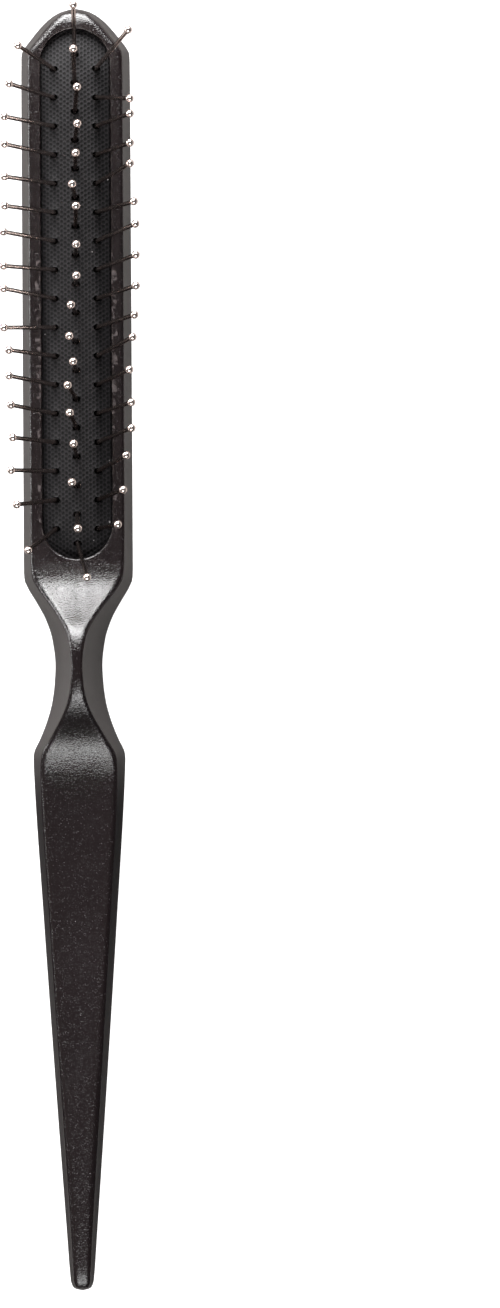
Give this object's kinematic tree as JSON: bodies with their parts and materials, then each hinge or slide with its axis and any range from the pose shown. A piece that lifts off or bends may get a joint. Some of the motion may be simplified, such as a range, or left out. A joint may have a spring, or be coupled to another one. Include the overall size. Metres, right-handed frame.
{
  "type": "rat tail brush",
  "caption": "Slim hair brush with wire ball-tipped pins in a cloth-faced rubber cushion, a finger rest and a long tapered tail.",
  "frame": {"origin": "on the flat back of the brush, midway along its length and on its centre line", "axes": "+Z is the way the pins point, +Y runs along the brush towards the head's tip, and +X is its right seen from the pin side with the tip up"},
  "size_m": [0.0246, 0.23, 0.0309],
  "materials": {
    "black_plastic": "semi-gloss, fine moulded grain",
    "black_rubber": "matt",
    "black_mesh_cloth": "fine knitted mesh",
    "nickel_wire": "bright drawn wire"
  },
  "bodies": {
    "brush_body": {"handle_body": "black_plastic", "cushion_rubber": "black_rubber", "cushion_cloth": "black_mesh_cloth"},
    "pin_left_01": {"pin_left_01": "nickel_wire"},
    "pin_left_02": {"pin_left_02": "nickel_wire"},
    "pin_left_03": {"pin_left_03": "nickel_wire"},
    "pin_left_04": {"pin_left_04": "nickel_wire"},
    "pin_left_05": {"pin_left_05": "nickel_wire"},
    "pin_left_06": {"pin_left_06": "nickel_wire"},
    "pin_left_07": {"pin_left_07": "nickel_wire"},
    "pin_left_08": {"pin_left_08": "nickel_wire"},
    "pin_left_09": {"pin_left_09": "nickel_wire"},
    "pin_left_10": {"pin_left_10": "nickel_wire"},
    "pin_left_11": {"pin_left_11": "nickel_wire"},
    "pin_left_12": {"pin_left_12": "nickel_wire"},
    "pin_left_13": {"pin_left_13": "nickel_wire"},
    "pin_left_14": {"pin_left_14": "nickel_wire"},
    "pin_left_15": {"pin_left_15": "nickel_wire"},
    "pin_left_16": {"pin_left_16": "nickel_wire"},
    "pin_left_17": {"pin_left_17": "nickel_wire"},
    "pin_centre_01": {"pin_centre_01": "nickel_wire"},
    "pin_centre_02": {"pin_centre_02": "nickel_wire"},
    "pin_centre_03": {"pin_centre_03": "nickel_wire"},
    "pin_centre_04": {"pin_centre_04": "nickel_wire"},
    "pin_centre_05": {"pin_centre_05": "nickel_wire"},
    "pin_centre_06": {"pin_centre_06": "nickel_wire"},
    "pin_centre_07": {"pin_centre_07": "nickel_wire"},
    "pin_centre_08": {"pin_centre_08": "nickel_wire"},
    "pin_centre_09": {"pin_centre_09": "nickel_wire"},
    "pin_centre_10": {"pin_centre_10": "nickel_wire"},
    "pin_centre_11": {"pin_centre_11": "nickel_wire"},
    "pin_centre_12": {"pin_centre_12": "nickel_wire"},
    "pin_centre_13": {"pin_centre_13": "nickel_wire"},
    "pin_centre_14": {"pin_centre_14": "nickel_wire"},
    "pin_centre_15": {"pin_centre_15": "nickel_wire"},
    "pin_centre_16": {"pin_centre_16": "nickel_wire"},
    "pin_centre_17": {"pin_centre_17": "nickel_wire"},
    "pin_centre_18": {"pin_centre_18": "nickel_wire"},
    "pin_right_01": {"pin_right_01": "nickel_wire"},
    "pin_right_02": {"pin_right_02": "nickel_wire"},
    "pin_right_03": {"pin_right_03": "nickel_wire"},
    "pin_right_04": {"pin_right_04": "nickel_wire"},
    "pin_right_05": {"pin_right_05": "nickel_wire"},
    "pin_right_06": {"pin_right_06": "nickel_wire"},
    "pin_right_07": {"pin_right_07": "nickel_wire"},
    "pin_right_08": {"pin_right_08": "nickel_wire"},
    "pin_right_09": {"pin_right_09": "nickel_wire"},
    "pin_right_10": {"pin_right_10": "nickel_wire"},
    "pin_right_11": {"pin_right_11": "nickel_wire"},
    "pin_right_12": {"pin_right_12": "nickel_wire"},
    "pin_right_13": {"pin_right_13": "nickel_wire"},
    "pin_right_14": {"pin_right_14": "nickel_wire"},
    "pin_right_15": {"pin_right_15": "nickel_wire"},
    "pin_right_16": {"pin_right_16": "nickel_wire"},
    "pin_right_17": {"pin_right_17": "nickel_wire"}
  },
  "joints": [
    {"name": "rock_left_01", "type": "hinge", "parent": "brush_body", "child": "pin_left_01", "pos_m": [-0.00341, 0.10372, 0.00846], "axis": [0, 1, 0], "range_deg": [-12, 12], "stiffness_Nm_per_rad": 0.02},
    {"name": "rock_left_02", "type": "hinge", "parent": "brush_body", "child": "pin_left_02", "pos_m": [-0.00332, 0.09868, 0.00894], "axis": [0, 1, 0], "range_deg": [-12, 12], "stiffness_Nm_per_rad": 0.02},
    {"name": "rock_left_03", "type": "hinge", "parent": "brush_body", "child": "pin_left_03", "pos_m": [-0.00327, 0.09357, 0.00902], "axis": [0, 1, 0], "range_deg": [-12, 12], "stiffness_Nm_per_rad": 0.02},
    {"name": "rock_left_04", "type": "hinge", "parent": "brush_body", "child": "pin_left_04", "pos_m": [-0.00327, 0.08842, 0.00903], "axis": [0, 1, 0], "range_deg": [-12, 12], "stiffness_Nm_per_rad": 0.02},
    {"name": "rock_left_05", "type": "hinge", "parent": "brush_body", "child": "pin_left_05", "pos_m": [-0.00327, 0.08331, 0.00904], "axis": [0, 1, 0], "range_deg": [-12, 12], "stiffness_Nm_per_rad": 0.02},
    {"name": "rock_left_06", "type": "hinge", "parent": "brush_body", "child": "pin_left_06", "pos_m": [-0.00327, 0.07817, 0.00904], "axis": [0, 1, 0], "range_deg": [-12, 12], "stiffness_Nm_per_rad": 0.02},
    {"name": "rock_left_07", "type": "hinge", "parent": "brush_body", "child": "pin_left_07", "pos_m": [-0.00325, 0.073, 0.00905], "axis": [0, 1, 0], "range_deg": [-12, 12], "stiffness_Nm_per_rad": 0.02},
    {"name": "rock_left_08", "type": "hinge", "parent": "brush_body", "child": "pin_left_08", "pos_m": [-0.00325, 0.06791, 0.00906], "axis": [0, 1, 0], "range_deg": [-12, 12], "stiffness_Nm_per_rad": 0.02},
    {"name": "rock_left_09", "type": "hinge", "parent": "brush_body", "child": "pin_left_09", "pos_m": [-0.00325, 0.0627, 0.00906], "axis": [0, 1, 0], "range_deg": [-12, 12], "stiffness_Nm_per_rad": 0.02},
    {"name": "rock_left_10", "type": "hinge", "parent": "brush_body", "child": "pin_left_10", "pos_m": [-0.00325, 0.05766, 0.00907], "axis": [0, 1, 0], "range_deg": [-12, 12], "stiffness_Nm_per_rad": 0.02},
    {"name": "rock_left_11", "type": "hinge", "parent": "brush_body", "child": "pin_left_11", "pos_m": [-0.0033, 0.05245, 0.00905], "axis": [0, 1, 0], "range_deg": [-12, 12], "stiffness_Nm_per_rad": 0.02},
    {"name": "rock_left_12", "type": "hinge", "parent": "brush_body", "child": "pin_left_12", "pos_m": [-0.0033, 0.04728, 0.00907], "axis": [0, 1, 0], "range_deg": [-12, 12], "stiffness_Nm_per_rad": 0.02},
    {"name": "rock_left_13", "type": "hinge", "parent": "brush_body", "child": "pin_left_13", "pos_m": [-0.00332, 0.04214, 0.00909], "axis": [0, 1, 0], "range_deg": [-12, 12], "stiffness_Nm_per_rad": 0.02},
    {"name": "rock_left_14", "type": "hinge", "parent": "brush_body", "child": "pin_left_14", "pos_m": [-0.00334, 0.03703, 0.0091], "axis": [0, 1, 0], "range_deg": [-12, 12], "stiffness_Nm_per_rad": 0.02},
    {"name": "rock_left_15", "type": "hinge", "parent": "brush_body", "child": "pin_left_15", "pos_m": [-0.00332, 0.03193, 0.00911], "axis": [0, 1, 0], "range_deg": [-12, 12], "stiffness_Nm_per_rad": 0.02},
    {"name": "rock_left_16", "type": "hinge", "parent": "brush_body", "child": "pin_left_16", "pos_m": [-0.00337, 0.02684, 0.00884], "axis": [0, 1, 0], "range_deg": [-12, 12], "stiffness_Nm_per_rad": 0.02},
    {"name": "rock_left_17", "type": "hinge", "parent": "brush_body", "child": "pin_left_17", "pos_m": [-0.00349, 0.02187, 0.0083], "axis": [0, 1, 0], "range_deg": [-12, 12], "stiffness_Nm_per_rad": 0.02},
    {"name": "rock_centre_01", "type": "hinge", "parent": "brush_body", "child": "pin_centre_01", "pos_m": [-0.00002, 0.10603, 0.00862], "axis": [0, 1, 0], "range_deg": [-12, 12], "stiffness_Nm_per_rad": 0.02},
    {"name": "rock_centre_02", "type": "hinge", "parent": "brush_body", "child": "pin_centre_02", "pos_m": [-0.00002, 0.10105, 0.00994], "axis": [0, 1, 0], "range_deg": [-12, 12], "stiffness_Nm_per_rad": 0.02},
    {"name": "rock_centre_03", "type": "hinge", "parent": "brush_body", "child": "pin_centre_03", "pos_m": [-0.00006, 0.09601, 0.01021], "axis": [0, 1, 0], "range_deg": [-12, 12], "stiffness_Nm_per_rad": 0.02},
    {"name": "rock_centre_04", "type": "hinge", "parent": "brush_body", "child": "pin_centre_04", "pos_m": [-0.00006, 0.09094, 0.01022], "axis": [0, 1, 0], "range_deg": [-12, 12], "stiffness_Nm_per_rad": 0.02},
    {"name": "rock_centre_05", "type": "hinge", "parent": "brush_body", "child": "pin_centre_05", "pos_m": [-0.00004, 0.0858, 0.01023], "axis": [0, 1, 0], "range_deg": [-12, 12], "stiffness_Nm_per_rad": 0.02},
    {"name": "rock_centre_06", "type": "hinge", "parent": "brush_body", "child": "pin_centre_06", "pos_m": [0, 0.08068, 0.01024], "axis": [0, 1, 0], "range_deg": [-12, 12], "stiffness_Nm_per_rad": 0.02},
    {"name": "rock_centre_07", "type": "hinge", "parent": "brush_body", "child": "pin_centre_07", "pos_m": [-0.00004, 0.07547, 0.01025], "axis": [0, 1, 0], "range_deg": [-12, 12], "stiffness_Nm_per_rad": 0.02},
    {"name": "rock_centre_08", "type": "hinge", "parent": "brush_body", "child": "pin_centre_08", "pos_m": [-0.00004, 0.07042, 0.01025], "axis": [0, 1, 0], "range_deg": [-12, 12], "stiffness_Nm_per_rad": 0.02},
    {"name": "rock_centre_09", "type": "hinge", "parent": "brush_body", "child": "pin_centre_09", "pos_m": [-0.00004, 0.0653, 0.01026], "axis": [0, 1, 0], "range_deg": [-12, 12], "stiffness_Nm_per_rad": 0.02},
    {"name": "rock_centre_10", "type": "hinge", "parent": "brush_body", "child": "pin_centre_10", "pos_m": [0.00002, 0.06016, 0.01026], "axis": [0, 1, 0], "range_deg": [-12, 12], "stiffness_Nm_per_rad": 0.02},
    {"name": "rock_centre_11", "type": "hinge", "parent": "brush_body", "child": "pin_centre_11", "pos_m": [0.00004, 0.05504, 0.01027], "axis": [0, 1, 0], "range_deg": [-12, 12], "stiffness_Nm_per_rad": 0.02},
    {"name": "rock_centre_12", "type": "hinge", "parent": "brush_body", "child": "pin_centre_12", "pos_m": [0, 0.04986, 0.0103], "axis": [0, 1, 0], "range_deg": [-12, 12], "stiffness_Nm_per_rad": 0.02},
    {"name": "rock_centre_13", "type": "hinge", "parent": "brush_body", "child": "pin_centre_13", "pos_m": [0.00006, 0.04466, 0.01033], "axis": [0, 1, 0], "range_deg": [-12, 12], "stiffness_Nm_per_rad": 0.02},
    {"name": "rock_centre_14", "type": "hinge", "parent": "brush_body", "child": "pin_centre_14", "pos_m": [0.00004, 0.03951, 0.01036], "axis": [0, 1, 0], "range_deg": [-12, 12], "stiffness_Nm_per_rad": 0.02},
    {"name": "rock_centre_15", "type": "hinge", "parent": "brush_body", "child": "pin_centre_15", "pos_m": [0, 0.03438, 0.01038], "axis": [0, 1, 0], "range_deg": [-12, 12], "stiffness_Nm_per_rad": 0.02},
    {"name": "rock_centre_16", "type": "hinge", "parent": "brush_body", "child": "pin_centre_16", "pos_m": [0.00002, 0.02934, 0.01031], "axis": [0, 1, 0], "range_deg": [-12, 12], "stiffness_Nm_per_rad": 0.02},
    {"name": "rock_centre_17", "type": "hinge", "parent": "brush_body", "child": "pin_centre_17", "pos_m": [-0.00004, 0.02437, 0.00965], "axis": [0, 1, 0], "range_deg": [-12, 12], "stiffness_Nm_per_rad": 0.02},
    {"name": "rock_centre_18", "type": "hinge", "parent": "brush_body", "child": "pin_centre_18", "pos_m": [-0.00013, 0.01943, 0.00851], "axis": [0, 1, 0], "range_deg": [-12, 12], "stiffness_Nm_per_rad": 0.02},
    {"name": "rock_right_01", "type": "hinge", "parent": "brush_body", "child": "pin_right_01", "pos_m": [0.00339, 0.10357, 0.0085], "axis": [0, 1, 0], "range_deg": [-12, 12], "stiffness_Nm_per_rad": 0.02},
    {"name": "rock_right_02", "type": "hinge", "parent": "brush_body", "child": "pin_right_02", "pos_m": [0.00338, 0.09884, 0.00892], "axis": [0, 1, 0], "range_deg": [-12, 12], "stiffness_Nm_per_rad": 0.02},
    {"name": "rock_right_03", "type": "hinge", "parent": "brush_body", "child": "pin_right_03", "pos_m": [0.00337, 0.09355, 0.00898], "axis": [0, 1, 0], "range_deg": [-12, 12], "stiffness_Nm_per_rad": 0.02},
    {"name": "rock_right_04", "type": "hinge", "parent": "brush_body", "child": "pin_right_04", "pos_m": [0.00337, 0.08841, 0.00899], "axis": [0, 1, 0], "range_deg": [-12, 12], "stiffness_Nm_per_rad": 0.02},
    {"name": "rock_right_05", "type": "hinge", "parent": "brush_body", "child": "pin_right_05", "pos_m": [0.00338, 0.08318, 0.009], "axis": [0, 1, 0], "range_deg": [-12, 12], "stiffness_Nm_per_rad": 0.02},
    {"name": "rock_right_06", "type": "hinge", "parent": "brush_body", "child": "pin_right_06", "pos_m": [0.00334, 0.07813, 0.00901], "axis": [0, 1, 0], "range_deg": [-12, 12], "stiffness_Nm_per_rad": 0.02},
    {"name": "rock_right_07", "type": "hinge", "parent": "brush_body", "child": "pin_right_07", "pos_m": [0.00332, 0.07292, 0.00903], "axis": [0, 1, 0], "range_deg": [-12, 12], "stiffness_Nm_per_rad": 0.02},
    {"name": "rock_right_08", "type": "hinge", "parent": "brush_body", "child": "pin_right_08", "pos_m": [0.00332, 0.0678, 0.00903], "axis": [0, 1, 0], "range_deg": [-12, 12], "stiffness_Nm_per_rad": 0.02},
    {"name": "rock_right_09", "type": "hinge", "parent": "brush_body", "child": "pin_right_09", "pos_m": [0.00332, 0.06268, 0.00903], "axis": [0, 1, 0], "range_deg": [-12, 12], "stiffness_Nm_per_rad": 0.02},
    {"name": "rock_right_10", "type": "hinge", "parent": "brush_body", "child": "pin_right_10", "pos_m": [0.00334, 0.05754, 0.00903], "axis": [0, 1, 0], "range_deg": [-12, 12], "stiffness_Nm_per_rad": 0.02},
    {"name": "rock_right_11", "type": "hinge", "parent": "brush_body", "child": "pin_right_11", "pos_m": [0.00336, 0.05233, 0.00904], "axis": [0, 1, 0], "range_deg": [-12, 12], "stiffness_Nm_per_rad": 0.02},
    {"name": "rock_right_12", "type": "hinge", "parent": "brush_body", "child": "pin_right_12", "pos_m": [0.00339, 0.04722, 0.00904], "axis": [0, 1, 0], "range_deg": [-12, 12], "stiffness_Nm_per_rad": 0.02},
    {"name": "rock_right_13", "type": "hinge", "parent": "brush_body", "child": "pin_right_13", "pos_m": [0.00337, 0.04212, 0.00907], "axis": [0, 1, 0], "range_deg": [-12, 12], "stiffness_Nm_per_rad": 0.02},
    {"name": "rock_right_14", "type": "hinge", "parent": "brush_body", "child": "pin_right_14", "pos_m": [0.00338, 0.03694, 0.00909], "axis": [0, 1, 0], "range_deg": [-12, 12], "stiffness_Nm_per_rad": 0.02},
    {"name": "rock_right_15", "type": "hinge", "parent": "brush_body", "child": "pin_right_15", "pos_m": [0.00343, 0.03178, 0.00908], "axis": [0, 1, 0], "range_deg": [-12, 12], "stiffness_Nm_per_rad": 0.02},
    {"name": "rock_right_16", "type": "hinge", "parent": "brush_body", "child": "pin_right_16", "pos_m": [0.00347, 0.0267, 0.00881], "axis": [0, 1, 0], "range_deg": [-12, 12], "stiffness_Nm_per_rad": 0.02},
    {"name": "rock_right_17", "type": "hinge", "parent": "brush_body", "child": "pin_right_17", "pos_m": [0.00352, 0.02161, 0.00826], "axis": [0, 1, 0], "range_deg": [-12, 12], "stiffness_Nm_per_rad": 0.02}
  ]
}
